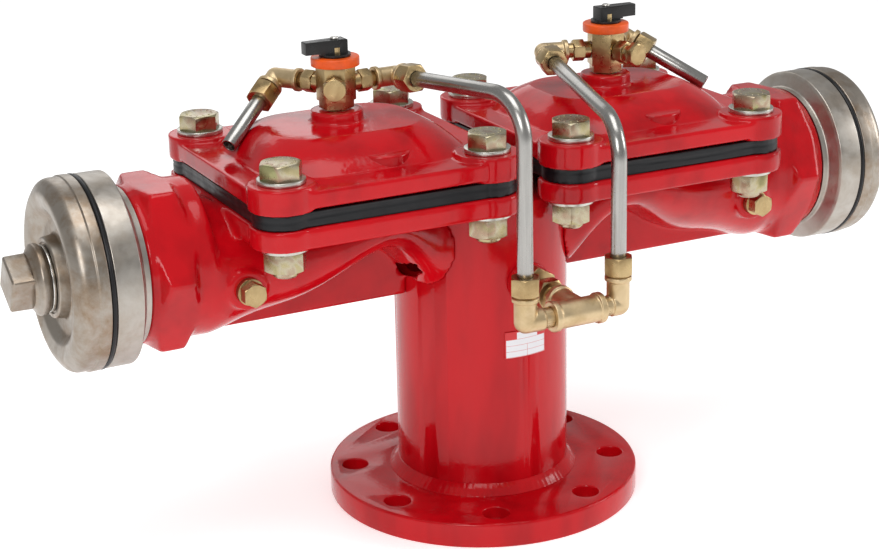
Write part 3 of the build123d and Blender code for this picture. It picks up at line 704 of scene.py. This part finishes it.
class HYDRANT_OT_outlets(bpy.types.Operator):
    """Outlet couplings: threaded ring, seal, domed cap and square-headed plug"""

    bl_idname = "hydrant.outlets"
    bl_label = "Outlet couplings"

    def execute(self, context):
        shapes = context.scene.hydrant_shapes
        for side, sign in SIDES.items():
            self.adapter(side, sign, shapes.round_steps)
            self.seal(side, sign, shapes.round_steps)
            self.cap(side, sign, shapes.round_steps)
            machined_piece("plug_washer_" + side, "bright steel", 0.3 * MM, 2)
            self.plug(side, sign, shapes.round_steps)
        return {"FINISHED"}

    def turned(self, name, node, side, sign, corners, material, steps):
        """A turned piece on one outlet's axis from (distance, radius, fillet) corners."""
        height = middle("outlet_cap_" + side).z
        piece = spun(name, rounded(corners), (0, 0, height), (sign, 0, 0), steps)
        shade(piece, 40)
        return dress(piece, material, node, [node])

    def adapter(self, side, sign, steps):
        """Threaded ring with a nearly flat back and a straight rim."""
        self.turned("coupling_ring_" + side, "outlet_adapter_" + side, side, sign, [
            (228.0, 40.1, 0), (228.0, 43.9, 0), (249.1, 43.9, 0), (249.1, 49.9, 0),
            (253.0, 50.4, 1.5), (256.0, 58.6, 1.5), (257.2, 60.9, 1.2), (273.9, 60.95, 0.9),
            (273.9, 57.5, 0.6), (273.0, 56.5, 0), (273.0, 46.6, 0), (259.0, 46.6, 0),
            (257.0, 40.1, 0)], "blasted stainless", steps)

    def seal(self, side, sign, steps):
        """Rubber seal, bulging slightly at its edge."""
        self.turned("coupling_seal_" + side, "outlet_seal_" + side, side, sign, [
            (274.1, 49.2, 0), (274.1, 60.9, 0.9), (275.6, 61.4, 0.5), (277.0, 60.9, 0.9),
            (277.0, 49.2, 0)], "seal rubber", steps)

    def cap(self, side, sign, steps):
        """Domed cap: straight rim, round shoulder, shallow valley and raised centre boss."""
        self.turned("coupling_cap_" + side, "outlet_cap_" + side, side, sign, [
            (262.0, 41.0, 0), (262.0, 46.3, 0.8), (277.2, 46.3, 0), (277.2, 61.3, 0.9),
            (283.6, 61.4, 1.0), (284.6, 60.6, 1.0), (293.0, 60.6, 7.5), (298.9, 52.0, 6.0),
            (296.4, 43.0, 6.0), (290.8, 36.5, 5.0), (290.6, 26.4, 2.0), (298.9, 25.2, 1.4),
            (298.95, 22.4, 0.4), (297.9, 21.8, 0.3), (297.9, 16.4, 0), (286.0, 16.4, 0),
            (286.0, 30.0, 0), (281.0, 41.0, 0)], "tarnished stainless", steps)

    def plug(self, side, sign, steps):
        """Screwed plug with a round bead under its square head."""
        node = "cap_plug_" + side
        low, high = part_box(node)
        centre = middle(node)
        end = max(abs(low.x), abs(high.x)) / MM
        head_start = 306.0
        body = spun("plug_body", rounded([
            (286.6, 0, 0), (286.6, 16.0, 0.8), (301.2, 16.0, 0), (301.2, 20.0, 0.6), (303.0, 22.4, 2.2),
            (307.2, 22.4, 2.2), (309.5, 18.2, 1.5), (311.0, 17.0, 0), (311.0, 0, 0)]),
            (0, 0, centre.z), (sign, 0, 0), steps // 2)
        bm = bmesh.new()
        square = 25.0 * MM
        corner_round = 1.6 * MM
        taper = 0.02
        length = (end - head_start) * MM
        bmesh.ops.create_cube(bm, size=1.0, matrix=Matrix.Diagonal((length, square, square, 1)))
        bmesh.ops.subdivide_edges(bm, edges=bm.edges, cuts=3, use_grid_fill=True)
        for vert in bm.verts:
            inward = 0.5 - vert.co.x * sign / length
            vert.co.yz *= 1 + taper * inward
        sharp = [e for e in bm.edges if e.calc_face_angle(0) > 0.5]
        bmesh.ops.bevel(bm, geom=sharp, offset=corner_round, offset_type="OFFSET", segments=4,
                        profile=0.5, affect="EDGES", clamp_overlap=True, material=-1)
        shift = Matrix.Translation((sign * (head_start * MM + length / 2), 0, centre.z))
        turn = Matrix.Rotation(self.head_turn(node), 4, "X")
        bmesh.ops.transform(bm, matrix=shift @ turn, verts=bm.verts)
        head = from_bmesh("plug_head", bm)
        piece = joined("coupling_plug_" + side, [body, head])
        shade(piece, 40)
        dress(piece, "tarnished stainless", node, [node])

    def head_turn(self, node):
        """Angle of the square head about the outlet axis, read from the node's end face."""
        centre = middle(node)
        verts = [v.co for v in frame["nodes"][node].data.vertices]
        far = max(abs(co.x) for co in verts)
        slack = 0.1 * MM
        ends = [co for co in verts if abs(co.x) > far - slack]
        corner = max(ends, key=lambda co: (co.y - centre.y) ** 2 + (co.z - centre.z) ** 2)
        return math.atan2(corner.z - centre.z, corner.y - centre.y) - math.radians(45)


class HYDRANT_OT_selectors(bpy.types.Operator):
    """Selector cocks: hexagonal bodies, index rings, levers and blanking plugs"""

    bl_idname = "hydrant.selectors"
    bl_label = "Selector cocks"

    def execute(self, context):
        for side in SIDES:
            machined_piece("selector_body_" + side, "machined brass", 0.35 * MM, 2)
            machined_piece("selector_ring_" + side, "orange moulding", 0.4 * MM, 2)
            machined_piece("selector_knob_" + side, "black moulding", 0.5 * MM, 3, 30)
            machined_piece("knob_screw_" + side, "bright steel", 0.1 * MM, 1)
            keep_node("selector_rotor_" + side, "machined brass")
            machined_piece("port_plug_" + side, "machined brass", 0.2 * MM, 2)
            machined_piece("port_nipples_" + side, "machined brass", 0.2 * MM, 2)
        return {"FINISHED"}


class HYDRANT_OT_fittings(bpy.types.Operator):
    """Brass elbows, tee, nipple and compression nuts"""

    bl_idname = "hydrant.fittings"
    bl_label = "Brass fittings"

    def execute(self, context):
        grain = context.scene.hydrant_shapes.fitting_grain
        tee_grain = grain * 1.2
        for side in SIDES:
            for part in ("control_elbow_", "exhaust_elbow_", "supply_elbow_"):
                cast_piece(part + side, grain, "cast brass", 3)
        cast_piece("supply_tee", tee_grain, "cast brass", 3)
        machined_piece("supply_nipple", "machined brass", 0.3 * MM, 2)
        machined_piece("compression_nuts", "machined brass", 0.3 * MM, 2)
        keep_node("compression_ferrules", "machined brass")
        self.threads()
        return {"FINISHED"}

    def threads(self):
        """Pipe thread left showing at the tee's three mouths and behind the selector elbows."""
        bm = bmesh.new()
        low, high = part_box("supply_tee")
        centre = middle("supply_tee")
        mouth_r = 10.0 * MM
        neck_r = 6.2 * MM
        depth = 0.5 * MM
        pitch = 1.337 * MM
        run_length, branch_length = 5.6 * MM, 7.0 * MM
        run_y = low.y + mouth_r
        helix_ridge(bm, (low.x, run_y, centre.z), (-1, 0, 0), neck_r, pitch, run_length, depth)
        helix_ridge(bm, (high.x, run_y, centre.z), (1, 0, 0), neck_r, pitch, run_length, depth)
        branch_x = middle("supply_nipple").x
        helix_ridge(bm, (branch_x, high.y, centre.z), (0, 1, 0), neck_r, pitch, branch_length, depth)
        port_start = 23.7
        port_r, port_pitch = 4.8 * MM, 0.907 * MM
        port_length, port_depth = 3.0 * MM, 0.4 * MM
        for side, headings in PORT_HEADINGS.items():
            axis = middle("selector_ring_" + side)
            height = middle("port_nipples_" + side).z
            for degrees in headings:
                heading = math.radians(degrees)
                aim = Vector((math.cos(heading), math.sin(heading), 0))
                start = Vector((axis.x, axis.y, height)) + aim * port_start * MM
                helix_ridge(bm, start, aim, port_r, port_pitch, port_length, port_depth)
        piece = from_bmesh("pipe_threads", bm)
        shade(piece, 40)
        dress(piece, "machined brass", "supply_tee")


class HYDRANT_OT_tubes(bpy.types.Operator):
    """Stainless control tubes and exhaust stubs"""

    bl_idname = "hydrant.tubes"
    bl_label = "Tubes"

    def execute(self, context):
        for side in SIDES:
            for part in ("control_tube_", "exhaust_tube_"):
                machined_piece(part + side, "drawn stainless", 0.2 * MM, 2, 40)
        return {"FINISHED"}


class HYDRANT_OT_stage(bpy.types.Operator):
    """Pale floor, soft studio light and the camera"""

    bl_idname = "hydrant.stage"
    bl_label = "Stage"

    def execute(self, context):
        setup = context.scene.hydrant_stage
        self.floor(setup)
        world = bpy.data.worlds.new("studio air")
        world.use_nodes = True
        background = world.node_tree.nodes["Background"]
        background.inputs["Color"].default_value = (1, 1, 1, 1)
        background.inputs["Strength"].default_value = setup.air_light
        context.scene.world = world
        context.scene.view_settings.view_transform = "Standard"
        # name, place, side of the square in metres, power in watts
        lamps = (
            ("top softbox", (-0.1, -0.3, 1.9), 1.2, 13.0),
            ("front left softbox", (-1.5, -1.6, 1.3), 0.9, 17.0),
            ("right softbox", (1.9, -0.8, 0.9), 0.8, 12.0),
            ("back softbox", (0.2, 1.9, 1.2), 1.2, 5.0),
        )
        target = Vector((0, 0, 0.18))
        for name, place, size, power in lamps:
            light = bpy.data.lights.new(name, "AREA")
            light.shape = "SQUARE"
            light.size = size
            light.energy = power
            lamp = bpy.data.objects.new(name, light)
            lamp.location = place
            lamp.rotation_euler = (target - Vector(place)).to_track_quat("-Z", "Y").to_euler()
            context.scene.collection.objects.link(lamp)
        self.camera(context, setup)
        return {"FINISHED"}

    def floor(self, setup):
        """Wide pale floor."""
        bm = bmesh.new()
        bmesh.ops.create_grid(bm, x_segments=1, y_segments=1, size=12)
        floor = from_bmesh("floor", bm)
        recipe = Recipe("pale floor", Roughness=0.6, Emission_Color=(1, 1, 1, 1),
                        Emission_Strength=setup.air_light)
        colour = tuple(setup.floor)
        tone = recipe.ramp(recipe.grain(3, 2), (0.3, tuple(c * 0.98 for c in colour)), (0.7, colour))
        floor.data.materials.append(recipe.done(tone))

    def camera(self, context, setup):
        """Camera at its place, turned to its heading, height angle and roll."""
        data = bpy.data.cameras.new("camera")
        data.lens = setup.lens
        data.sensor_width = 36.0
        data.clip_start = 0.05
        data.clip_end = 50.0
        camera = bpy.data.objects.new("camera", data)
        a, e = setup.azimuth, setup.elevation
        back = Vector((math.sin(a) * math.cos(e), -math.cos(a) * math.cos(e), math.sin(e)))
        level = Vector((math.cos(a), math.sin(a), 0))
        up = back.cross(level)
        right = level * math.cos(setup.roll) + up * math.sin(setup.roll)
        up = back.cross(right)
        turn = Matrix((right, up, back)).transposed().to_4x4()
        camera.matrix_world = Matrix.Translation(setup.place) @ turn
        context.scene.collection.objects.link(camera)
        context.scene.camera = camera


class HYDRANT_PT_panel(bpy.types.Panel):
    """Buttons for each group of pieces"""

    bl_label = "Hydrant head"
    bl_idname = "HYDRANT_PT_panel"
    bl_space_type = "VIEW_3D"
    bl_region_type = "UI"
    bl_category = "Hydrant"

    def draw(self, context):
        for group in (context.scene.hydrant_paint, context.scene.hydrant_metals,
                      context.scene.hydrant_shapes, context.scene.hydrant_stage):
            box = self.layout.box()
            for name in group.__annotations__:
                box.prop(group, name)
        for operator in OPERATORS:
            self.layout.operator(operator.bl_idname)


SETTINGS = {
    "hydrant_paint": HydrantPaint, "hydrant_metals": HydrantMetals,
    "hydrant_shapes": HydrantShapes, "hydrant_stage": HydrantStage,
}
OPERATORS = (
    HYDRANT_OT_riser, HYDRANT_OT_valve_bodies, HYDRANT_OT_bonnets, HYDRANT_OT_diaphragms,
    HYDRANT_OT_fasteners, HYDRANT_OT_outlets, HYDRANT_OT_selectors, HYDRANT_OT_fittings,
    HYDRANT_OT_tubes, HYDRANT_OT_stage,
)


def register():
    """Registers the classes and hangs the settings on the scene."""
    for cls in (*SETTINGS.values(), *OPERATORS, HYDRANT_PT_panel):
        bpy.utils.register_class(cls)
    for name, cls in SETTINGS.items():
        setattr(bpy.types.Scene, name, PointerProperty(type=cls))


def unregister():
    """Takes the settings and classes away again."""
    for name in SETTINGS:
        delattr(bpy.types.Scene, name)
    for cls in reversed((*SETTINGS.values(), *OPERATORS, HYDRANT_PT_panel)):
        bpy.utils.unregister_class(cls)


def main():
    """Builds everything."""
    register()
    bpy.ops.hydrant.riser()
    bpy.ops.hydrant.valve_bodies()
    bpy.ops.hydrant.bonnets()
    bpy.ops.hydrant.diaphragms()
    bpy.ops.hydrant.fasteners()
    bpy.ops.hydrant.outlets()
    bpy.ops.hydrant.selectors()
    bpy.ops.hydrant.fittings()
    bpy.ops.hydrant.tubes()
    bpy.ops.hydrant.stage()


if __name__ == "__main__":
    main()
